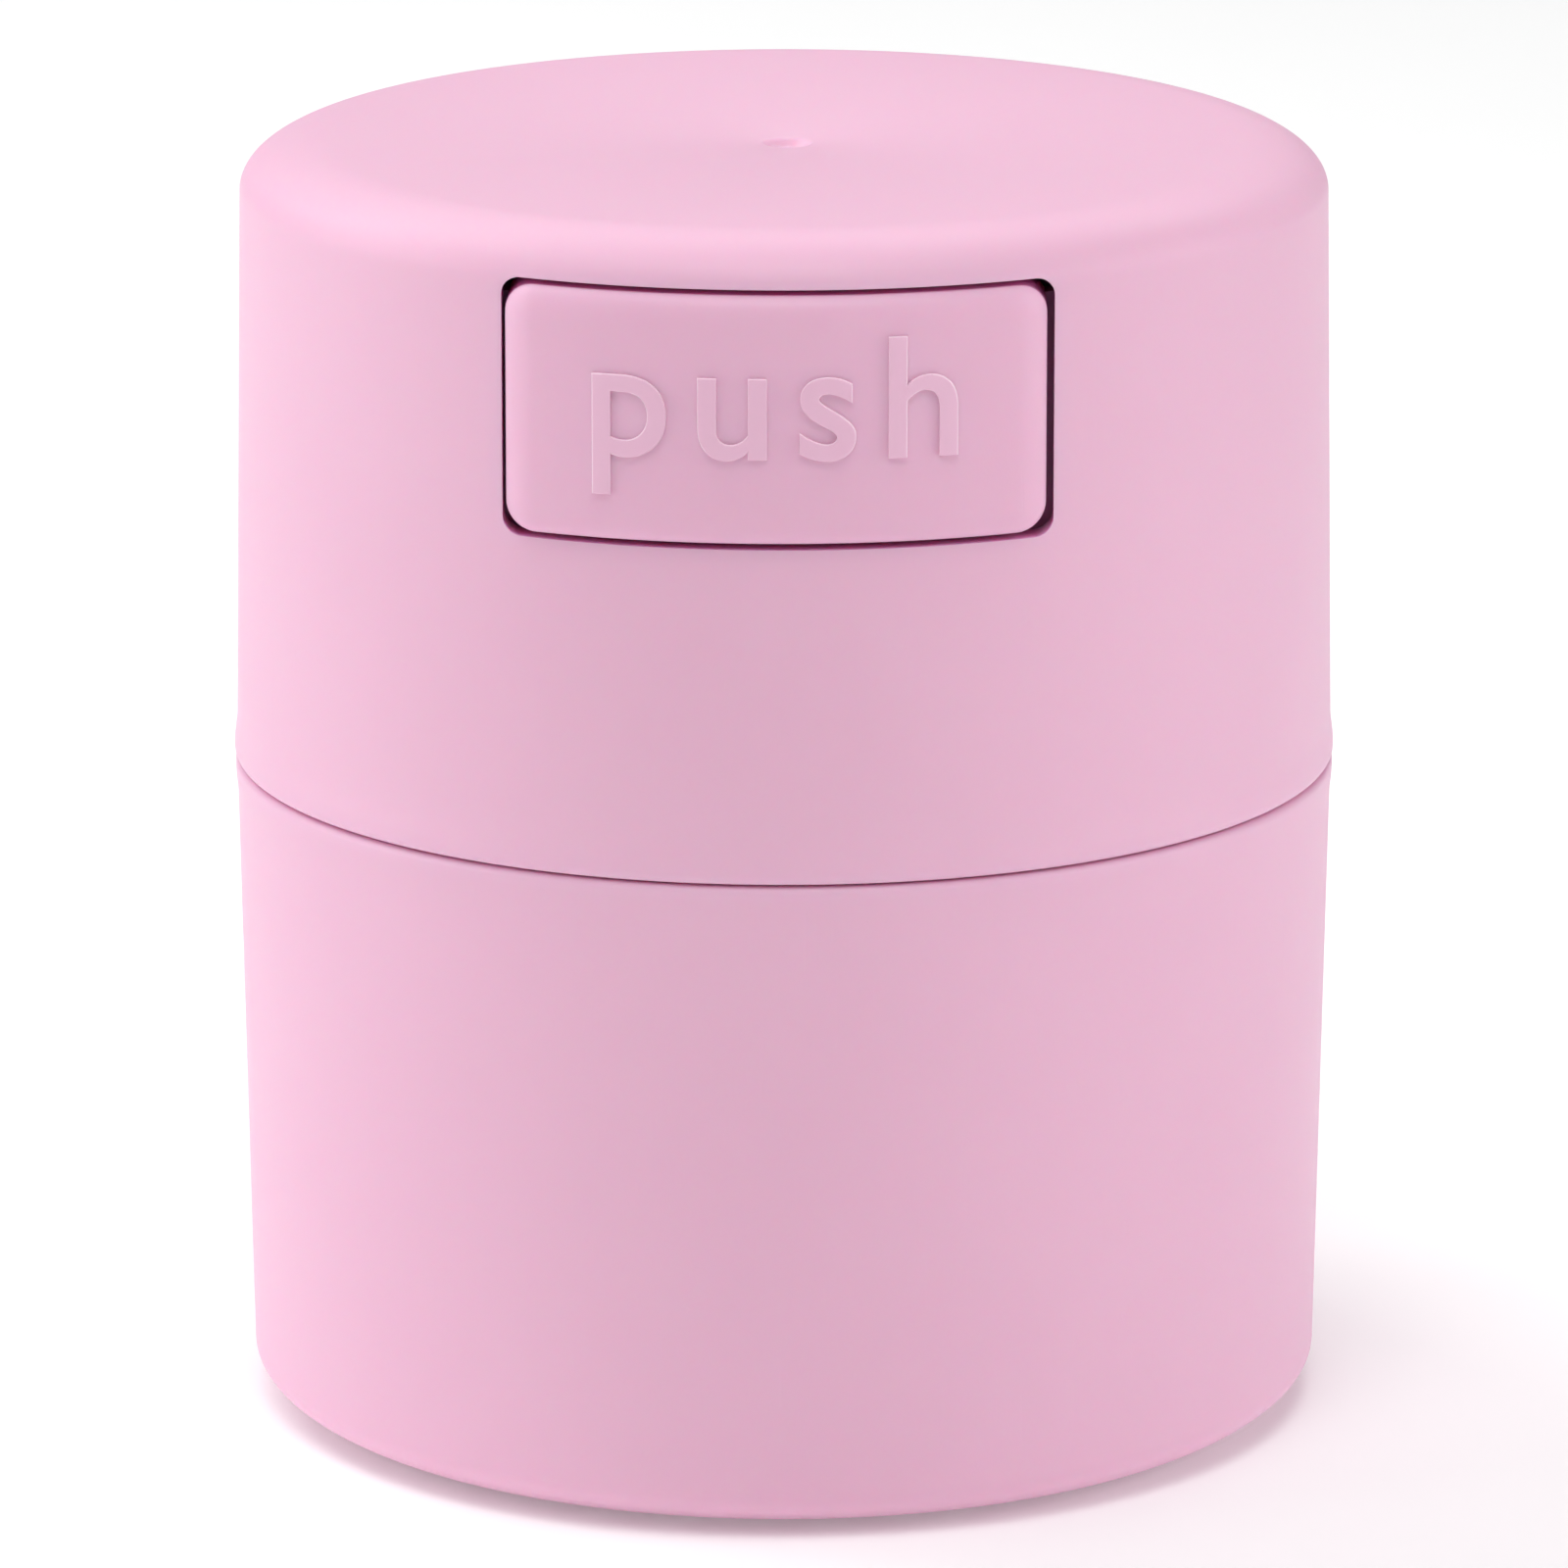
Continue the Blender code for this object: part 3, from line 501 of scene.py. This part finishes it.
def rod(name, radius, near, far, x, steps=40):
    """Cylinder that runs front to back at the button's height, between two distances from the axis."""
    select_nothing()
    bpy.ops.mesh.primitive_cylinder_add(vertices=steps, radius=radius, depth=far - near,
                                        location=(x, -(near + far) / 2, window_z),
                                        rotation=(math.radians(90.0), 0.0, 0.0))
    piece = name_active(name)
    bpy.ops.object.transform_apply(location=True, rotation=True)
    return piece


# ------------------------------------------------------------------ push button
face_radius = -button_low.y + FACE_STEP


def wrap_to_lid(piece, radius):
    """Curves a flat piece that was modelled straight in front of the axis to the lid's drafted side."""
    for vertex in piece.data.vertices:
        point = vertex.co
        point.y += radius - math.sqrt(radius ** 2 - point.x ** 2)
        point.y -= side_slope * (window_z - point.z)
    piece.data.update()


def slice_upright(piece, half_width, count):
    """Cuts the piece by upright planes so that it can follow the lid's curve."""
    make_active(piece)
    bpy.ops.object.mode_set(mode="EDIT")
    for index in range(1, count):
        bpy.ops.mesh.select_all(action="SELECT")
        place = (half_width * (2 * index / count - 1), 0.0, 0.0)
        bpy.ops.mesh.bisect(plane_co=place, plane_no=(1.0, 0.0, 0.0))
    bpy.ops.object.mode_set(mode="OBJECT")


def make_push_button():
    low = window_low + WINDOW_GAP
    high = window_high - WINDOW_GAP
    half = WINDOW_HALF - WINDOW_GAP
    stretch = BUTTON_EDGE / BUTTON_EDGE_DROP
    button = rounded_block("push_button_moulded", half, low, high, face_radius - BUTTON_DEPTH * stretch,
                           face_radius, BUTTON_CORNER, 16)
    make_active(button)
    bpy.ops.object.mode_set(mode="EDIT")
    bpy.ops.mesh.select_mode(type="EDGE")
    front = -face_radius + 0.01 * MM
    select_where(button, "edges", lambda edge: max(edge.verts[0].co.y, edge.verts[1].co.y) < front)
    bpy.ops.mesh.bevel(offset=BUTTON_EDGE, segments=12, profile=0.5)
    bpy.ops.object.mode_set(mode="OBJECT")
    for vertex in button.data.vertices:
        vertex.co.y = (vertex.co.y + face_radius) / stretch - face_radius
    slice_upright(button, half, 64)
    wrap_to_lid(button, face_radius)

    flange_radius = LID_RADIUS - SHELL_WALL - WINDOW_GAP
    flange = rounded_block("button_flange", half + FLANGE_LAP, low - FLANGE_LAP, high - FLANGE_TOP_DROP,
                           flange_radius - FLANGE_PLATE, flange_radius, 1.0 * MM, 6)
    slice_upright(flange, half + FLANGE_LAP, 48)
    wrap_to_lid(flange, flange_radius)
    apply_boolean(button, flange, "UNION")
    for x, outer in ((-SOCKET_X, SOCKET_RADIUS), (SOCKET_X, SOCKET_RADIUS), (0.0, STEM_BOSS_RADIUS)):
        start = math.sqrt((flange_radius - FLANGE_PLATE / 2) ** 2 - (abs(x) + outer) ** 2)
        apply_boolean(button, rod("socket", outer, BUTTON_BACK, start, x), "UNION")
    for x, bore, depth in ((-SOCKET_X, SOCKET_BORE, SOCKET_FLOOR), (SOCKET_X, SOCKET_BORE, SOCKET_FLOOR),
                           (0.0, STEM_BORE, STEM_FLOOR)):
        apply_boolean(button, rod("bore", bore, 15 * MM, depth, x))
    shift_sideways(button)
    # the flanks and back get a darker pink: painted shade of the window recess
    two_tone(button, button_pink, flank_shade_pink, is_behind_face)
    return button


def is_behind_face(face):
    """True for the button's flanks and back, which sit in the shade of the window and get a darker pink as
    painted shade.
    """
    return math.hypot(face.center.x, face.center.y) < face_radius - BUTTON_EDGE_DROP - 0.3 * MM


def shift_sideways(piece):
    """The button hangs a hair to the left in its window."""
    piece.location.x = BUTTON_SHIFT
    make_active(piece)
    bpy.ops.object.transform_apply(location=True)


def make_lettering():
    """The raised word on the button's face."""
    select_nothing()
    bpy.ops.object.text_add(location=(0.0, 0.0, 0.0))
    word = bpy.context.object
    word.data.body = "push"
    word.data.size = LETTER_SIZE
    word.data.space_character = LETTER_SPACING
    word.data.offset = LETTER_WEIGHT
    word.data.align_x = "CENTER"
    word.data.extrude = LETTER_PROUD
    word.data.bevel_depth = LETTER_EDGE
    word.data.bevel_resolution = 3
    word.data.resolution_u = 16
    bpy.ops.object.convert(target="MESH")
    word = name_active("push_button_lettering")
    bpy.ops.object.mode_set(mode="EDIT")
    bpy.ops.mesh.select_all(action="SELECT")
    bpy.ops.mesh.remove_doubles(threshold=0.001 * MM)
    bpy.ops.mesh.normals_make_consistent(inside=False)
    bpy.ops.object.mode_set(mode="OBJECT")
    word.rotation_euler = (math.radians(90.0), 0.0, 0.0)
    word.location = (0.0, -face_radius, window_z + LETTER_BASE)
    bpy.ops.object.transform_apply(location=True, rotation=True, scale=True)
    slice_upright(word, WINDOW_HALF, 64)
    wrap_to_lid(word, face_radius)
    shift_sideways(word)
    # the letters' bevels and sides get a much lighter pink: a painted highlight rim
    two_tone(word, letter_pink, rim_highlight_pink, lambda face: face.normal.y > LETTER_FRONT)
    return word


# ------------------------------------------------------------------ springs
def make_spring(node):
    """Round-wire coil between the guide plate and the button's socket."""
    low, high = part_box(node)
    wire = WIRE_RADIUS
    turns = SPRING_TURNS
    radius = (high.x - low.x) / 2 - wire
    select_nothing()
    bpy.ops.mesh.primitive_circle_add(vertices=14, radius=wire, fill_type="NGON",
                                      rotation=(math.radians(90.0), 0.0, 0.0),
                                      location=(radius, 0.0, wire))
    spring = name_active(node + "_wire")
    bpy.ops.object.transform_apply(location=True, rotation=True)
    bpy.ops.object.mode_set(mode="EDIT")
    bpy.ops.mesh.delete(type="ONLY_FACE")
    bpy.ops.object.mode_set(mode="OBJECT")
    coil = spring.modifiers.new("coil", "SCREW")
    coil.angle = 2 * math.pi
    coil.screw_offset = (high.y - low.y - 2 * wire) / turns
    coil.iterations = turns
    coil.steps = 40
    coil.render_steps = 40
    bpy.ops.object.modifier_apply(modifier="coil")
    bpy.ops.object.mode_set(mode="EDIT")
    bpy.ops.mesh.select_mode(type="EDGE")
    select_where(spring, "edges", lambda edge: len(edge.link_faces) < 2)
    bpy.ops.mesh.edge_face_add()
    bpy.ops.mesh.select_all(action="SELECT")
    bpy.ops.mesh.normals_make_consistent(inside=False)
    bpy.ops.object.mode_set(mode="OBJECT")
    spring.rotation_euler = (math.radians(90.0), 0.0, 0.0)
    spring.location = ((low.x + high.x) / 2, high.y, (low.z + high.z) / 2)
    bpy.ops.object.transform_apply(location=True, rotation=True)
    return spring


# ------------------------------------------------------------------ finishes
class Value:
    """What comes out of a node. Arithmetic on it adds Math nodes."""

    def __init__(self, finish, socket):
        self.finish = finish
        self.socket = socket

    def maths(self, operation, first, second):
        return self.finish.node("ShaderNodeMath", {"operation": operation}, {0: first, 1: second})

    def __add__(self, other):
        return self.maths("ADD", self, other)

    def __radd__(self, other):
        return self.maths("ADD", other, self)

    def __sub__(self, other):
        return self.maths("SUBTRACT", self, other)

    def __rsub__(self, other):
        return self.maths("SUBTRACT", other, self)

    def __mul__(self, other):
        return self.maths("MULTIPLY", self, other)

    def __rmul__(self, other):
        return self.maths("MULTIPLY", other, self)

    def __pow__(self, other):
        return self.maths("POWER", self, other)


class Finish:
    """A material that is built up node by node on one Principled shader."""

    def __init__(self, name, **shader_values):
        self.material = bpy.data.materials.new(name)
        self.material.use_nodes = True
        self.tree = self.material.node_tree
        self.shader = self.tree.nodes["Principled BSDF"]
        for socket, value in shader_values.items():
            self.shader.inputs[socket.replace("_", " ")].default_value = value
        self.place = self.node("ShaderNodeTexCoord", output="Object")

    def node(self, kind, settings=None, sockets=None, output=0):
        """Adds a node, makes its settings, fills its sockets and gives one of its outputs."""
        node = self.tree.nodes.new(kind)
        for name, value in (settings or {}).items():
            setattr(node, name, value)
        for socket, value in (sockets or {}).items():
            if isinstance(value, Value):
                self.tree.links.new(value.socket, node.inputs[socket])
            else:
                node.inputs[socket].default_value = value
        return Value(self, node.outputs[output])

    def feed(self, socket, value):
        self.tree.links.new(value.socket, self.shader.inputs[socket])

    def noise(self, size, detail=2.0, roughness=0.5, place=None):
        """Soft noise whose grains are about this size."""
        return self.node("ShaderNodeTexNoise", {}, {"Vector": place or self.place, "Scale": 1.0 / size,
                                                    "Detail": detail, "Roughness": roughness})

    def stretched(self, scale):
        """The place on the piece, squeezed along some axes so that a pattern runs along the others."""
        return self.node("ShaderNodeMapping", {}, {"Vector": self.place, "Scale": scale})

    def mask(self, value, low, high):
        """0 below low, 1 above high, and a smooth step between."""
        return self.node("ShaderNodeMapRange", {"interpolation_type": "SMOOTHSTEP"},
                         {"Value": value, "From Min": low, "From Max": high})

    def blend(self, factor, first, second):
        """One colour laid over another by a mask."""
        return self.node("ShaderNodeMix", {"data_type": "RGBA"},
                         {"Factor": factor, "A": first, "B": second}, output="Result")

    def part(self, axis):
        """One of the three coordinates on the piece."""
        return self.node("ShaderNodeSeparateXYZ", {}, {"Vector": self.place}, output=axis)

    def bump(self, height, depth):
        """Feeds the shader's normal with a relief of this depth."""
        self.feed("Normal", self.node("ShaderNodeBump", {}, {"Height": height, "Distance": depth,
                                                             "Strength": 1.0}, output="Normal"))


def tint(red, green, blue):
    return (red, green, blue, 1.0)


def moulded_pink(name, colour, deep_colour, roughness, depth=0.35, spread=1.6 * MM):
    """Satin moulded plastic: cloudy pigment, a fine grain from its mould and faint hairlines."""
    finish = Finish(name, IOR=1.49, Specular_IOR_Level=0.25, Subsurface_Weight=depth,
                    Subsurface_Scale=spread, Subsurface_Radius=(1.0, 0.3, 0.55))
    cloud = finish.mask(finish.noise(14 * MM, 3.0), 0.3, 0.7)
    speck = finish.mask(finish.noise(0.35 * MM, 1.0), 0.62, 0.74)
    colour_now = finish.blend(cloud * 0.5 + speck * 0.25, colour, deep_colour)
    # lighter, rougher patches over the lowest 1.4 mm of a piece
    low_down = finish.mask(finish.part("Z"), 1.4 * MM, 0.1 * MM)
    bottom_patches = low_down * finish.mask(finish.noise(1.1 * MM, 4.0), 0.45, 0.62)
    finish.feed("Base Color", finish.blend(bottom_patches * 0.35, colour_now, tint(0.93, 0.78, 0.85)))
    upright = finish.stretched((1.0, 1.0, 0.04))
    hairline = finish.mask(finish.noise(0.5 * MM, 2.0, place=upright), 0.66, 0.72)
    grain = finish.noise(0.16 * MM, 2.0)
    swell = finish.noise(5 * MM, 1.0)
    finish.feed("Roughness", roughness + (grain - 0.5) * 0.10 + (cloud - 0.5) * 0.03
                + hairline * 0.05 + bottom_patches * 0.15)
    finish.bump(grain * 0.6 + swell * 2.5 - hairline * 0.3, 0.006 * MM)
    return finish.material


def moulded_white():
    """Semi-gloss white plastic with a slightly warm cloud in it and fine flow lines up its walls."""
    finish = Finish("white_liner_plastic", IOR=1.49, Subsurface_Weight=0.2, Subsurface_Scale=1.5 * MM,
                    Subsurface_Radius=(1.0, 0.9, 0.8))
    cloud = finish.mask(finish.noise(10 * MM, 3.0), 0.3, 0.7)
    flow = finish.noise(1.2 * MM, 2.0, place=finish.stretched((1.0, 1.0, 0.12)))
    finish.feed("Base Color", finish.blend(cloud, tint(0.89, 0.885, 0.87), tint(0.84, 0.84, 0.83)))
    grain = finish.noise(0.2 * MM, 2.0)
    finish.feed("Roughness", 0.3 + (grain - 0.5) * 0.12 + (flow - 0.5) * 0.08)
    finish.bump(grain * 0.5 + flow, 0.006 * MM)
    return finish.material


def guide_white():
    """Harder, greyer white plastic of the small mechanism pieces, with a matt grain."""
    finish = Finish("white_guide_plastic", IOR=1.48)
    cloud = finish.mask(finish.noise(4 * MM, 3.0), 0.35, 0.65)
    finish.feed("Base Color", finish.blend(cloud, tint(0.80, 0.80, 0.79), tint(0.74, 0.745, 0.74)))
    grain = finish.noise(0.14 * MM, 2.0)
    finish.feed("Roughness", 0.38 + (grain - 0.5) * 0.16)
    finish.bump(grain, 0.006 * MM)
    return finish.material


def soft_silicone():
    """Milky silicone with a dusty skin and small dents."""
    finish = Finish("seal_silicone", IOR=1.41, Subsurface_Weight=0.35, Subsurface_Scale=1.0 * MM,
                    Subsurface_Radius=(1.0, 0.95, 0.9))
    dust = finish.mask(finish.noise(0.5 * MM, 4.0), 0.5, 0.7)
    finish.feed("Base Color", finish.blend(dust, tint(0.77, 0.78, 0.78), tint(0.86, 0.86, 0.85)))
    finish.feed("Roughness", 0.42 + dust * 0.18)
    finish.bump(finish.noise(0.3 * MM, 3.0), 0.012 * MM)
    return finish.material


def spring_wire():
    """Drawn wire: bright metal with darker streaks and light pitting."""
    finish = Finish("spring_wire_steel", Metallic=1.0)
    streak = finish.mask(finish.noise(0.25 * MM, 3.0), 0.35, 0.65)
    finish.feed("Base Color", finish.blend(streak, tint(0.62, 0.61, 0.59), tint(0.48, 0.475, 0.46)))
    finish.feed("Roughness", 0.26 + streak * 0.14)
    finish.bump(finish.noise(0.08 * MM, 2.0), 0.004 * MM)
    return finish.material


def screw_steel():
    """Plated screw: fine rings left by turning its head, with a little dulling in patches."""
    finish = Finish("turned_screw_steel", Metallic=1.0)
    across = finish.node("ShaderNodeMath", {"operation": "ABSOLUTE"}, {0: finish.part("X")}) - SCREW_X
    up = finish.part("Z") - window_z
    reach = (across * across + up * up) ** 0.5
    rings = finish.node("ShaderNodeMath", {"operation": "SINE"}, {0: reach * (2 * math.pi / (0.12 * MM))})
    dull = finish.mask(finish.noise(0.7 * MM, 3.0), 0.4, 0.7)
    finish.feed("Base Color", finish.blend(dull, tint(0.70, 0.70, 0.69), tint(0.56, 0.555, 0.54)))
    finish.feed("Roughness", 0.24 + rings * 0.04 + dull * 0.14)
    finish.bump(rings * 0.5 + finish.noise(0.1 * MM, 2.0), 0.003 * MM)
    return finish.material


pink = moulded_pink("pink_shell_plastic", tint(0.865, 0.515, 0.68), tint(0.85, 0.50, 0.667), 0.44)
button_pink = moulded_pink("pink_button_plastic", tint(0.865, 0.51, 0.68), tint(0.85, 0.495, 0.665), 0.42)
letter_pink = moulded_pink("raised_letter_plastic", tint(0.90, 0.54, 0.705), tint(0.885, 0.525, 0.69),
                           0.40, 0.08)
# much lighter pink on the letters' bevels: painted highlight rim
rim_highlight_pink = moulded_pink("letter_rim_painted_highlight", tint(0.97, 0.72, 0.84), tint(0.95, 0.70, 0.82), 0.36, 0.08)
# darker, deeper pink for the window's walls: painted shade of the recess
window_shade_pink = moulded_pink("window_wall_painted_shade", tint(0.80, 0.38, 0.62), tint(0.78, 0.36, 0.60),
                           0.6, 0.6, 2.6 * MM)
# darker pink for the button's flanks and back: painted shade of the window recess
flank_shade_pink = moulded_pink("button_flank_painted_shade", tint(0.72, 0.28, 0.52), tint(0.70, 0.26, 0.50),
                          0.6, 0.6, 2.6 * MM)
white = moulded_white()
guide_finish = guide_white()
silicone = soft_silicone()
wire_steel = spring_wire()
turned_steel = screw_steel()


# ------------------------------------------------------------------ pieces on their bodies
def dress(piece, finish, body, slot, *nodes, degrees=30.0):
    """Gives a finished piece its finish and its body, and hides the CAD nodes that it stands for."""
    shade(piece, degrees)
    if finish:
        piece.data.materials.clear()
        piece.data.materials.append(finish)
    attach(piece, body)
    if nodes:
        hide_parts(*nodes)


shell = make_lid_shell()
base = make_base_shell()
cup = make_storage_cup()
seal = make_seal_ring()
liner = make_lid_liner()
button = make_push_button()
lettering = make_lettering()
dress(shell, None, "lid", "pink_shell", "lid_shell")
dress(base, pink, "base", "pink_shell", "base_shell")
dress(cup, white, "base", "white_liner", "storage_cup")
dress(seal, silicone, "seal", "silicone", "neck_seal_ring")
dress(liner, white, "lid", "white_liner", "lid_liner")
dress(button, None, "button", "pink_button", "push_button")
dress(lettering, None, "button", "pink_button", degrees=20.0)

for spring_node in ("return_spring_left", "return_spring_right"):
    spring = make_spring(spring_node)
    dress(spring, wire_steel, "button", "spring_steel", spring_node, degrees=60.0)
    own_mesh(spring)

for node, finish in (("button_guide", guide_finish), ("guide_screw_left", turned_steel),
                     ("guide_screw_right", turned_steel), ("valve_stem", guide_finish),
                     ("valve_disc", silicone), ("valve_clip", wire_steel)):
    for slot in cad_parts[node].material_slots:
        slot.material = finish


# ------------------------------------------------------------------ floor, camera and lights
def make_floor():
    select_nothing()
    bpy.ops.mesh.primitive_circle_add(vertices=64, radius=FLOOR_RADIUS, fill_type="NGON",
                                      location=(0.0, 0.0, cad_low[2] - FLOOR_DROP))
    floor = name_active("studio_floor")
    finish = Finish("studio_paper", Roughness=0.9)
    finish.feed("Base Color", finish.blend(finish.noise(60 * MM, 3.0), tint(0.88, 0.88, 0.88),
                                           tint(0.91, 0.91, 0.91)))
    finish.shader.inputs["Emission Strength"].default_value = FLOOR_GLOW
    finish.shader.inputs["Emission Color"].default_value = tint(1.0, 1.0, 1.0)
    floor.data.materials.append(finish.material)


def around(azimuth, elevation, distance, height):
    """A place round the canister: azimuth 0 is straight in front of the button, positive to the right."""
    turn, rise = math.radians(azimuth), math.radians(elevation)
    return Vector((distance * math.sin(turn) * math.cos(rise), -distance * math.cos(turn) * math.cos(rise),
                   height + distance * math.sin(rise)))


def look_from(item, place, target):
    item.location = place
    item.rotation_euler = (target - place).to_track_quat("-Z", "Y").to_euler()


def make_camera():
    data = bpy.data.cameras.new("front_camera")
    data.lens = CAMERA_LENS
    data.sensor_width = 36.0
    data.clip_end = 20.0
    camera = bpy.data.objects.new("front_camera", data)
    bpy.context.collection.objects.link(camera)
    look_from(camera, around(CAMERA_AZIMUTH, CAMERA_ELEVATION, CAMERA_DISTANCE, AIM_HEIGHT),
              Vector((0.0, 0.0, AIM_HEIGHT)))
    bpy.context.scene.camera = camera


def make_light(name, azimuth, elevation, width, height, power):
    """A soft box that looks at the middle of the canister."""
    data = bpy.data.lights.new(name, "AREA")
    data.shape = "RECTANGLE"
    data.size = width
    data.size_y = height
    data.energy = power
    light = bpy.data.objects.new(name, data)
    bpy.context.collection.objects.link(light)
    middle = top_z / 2
    look_from(light, around(azimuth, elevation, LIGHT_DISTANCE, middle), Vector((0.0, 0.0, middle)))
    return light


make_floor()
make_camera()
lights = [make_light(*values) for values in LIGHTS]
world = bpy.data.worlds.new("studio_air")
bpy.context.scene.world = world
world.use_nodes = True
world.node_tree.nodes["Background"].inputs["Color"].default_value = tint(1.0, 1.0, 1.0)
world.node_tree.nodes["Background"].inputs["Strength"].default_value = AIR_LIGHT
bpy.context.scene.view_settings.view_transform = "Standard"
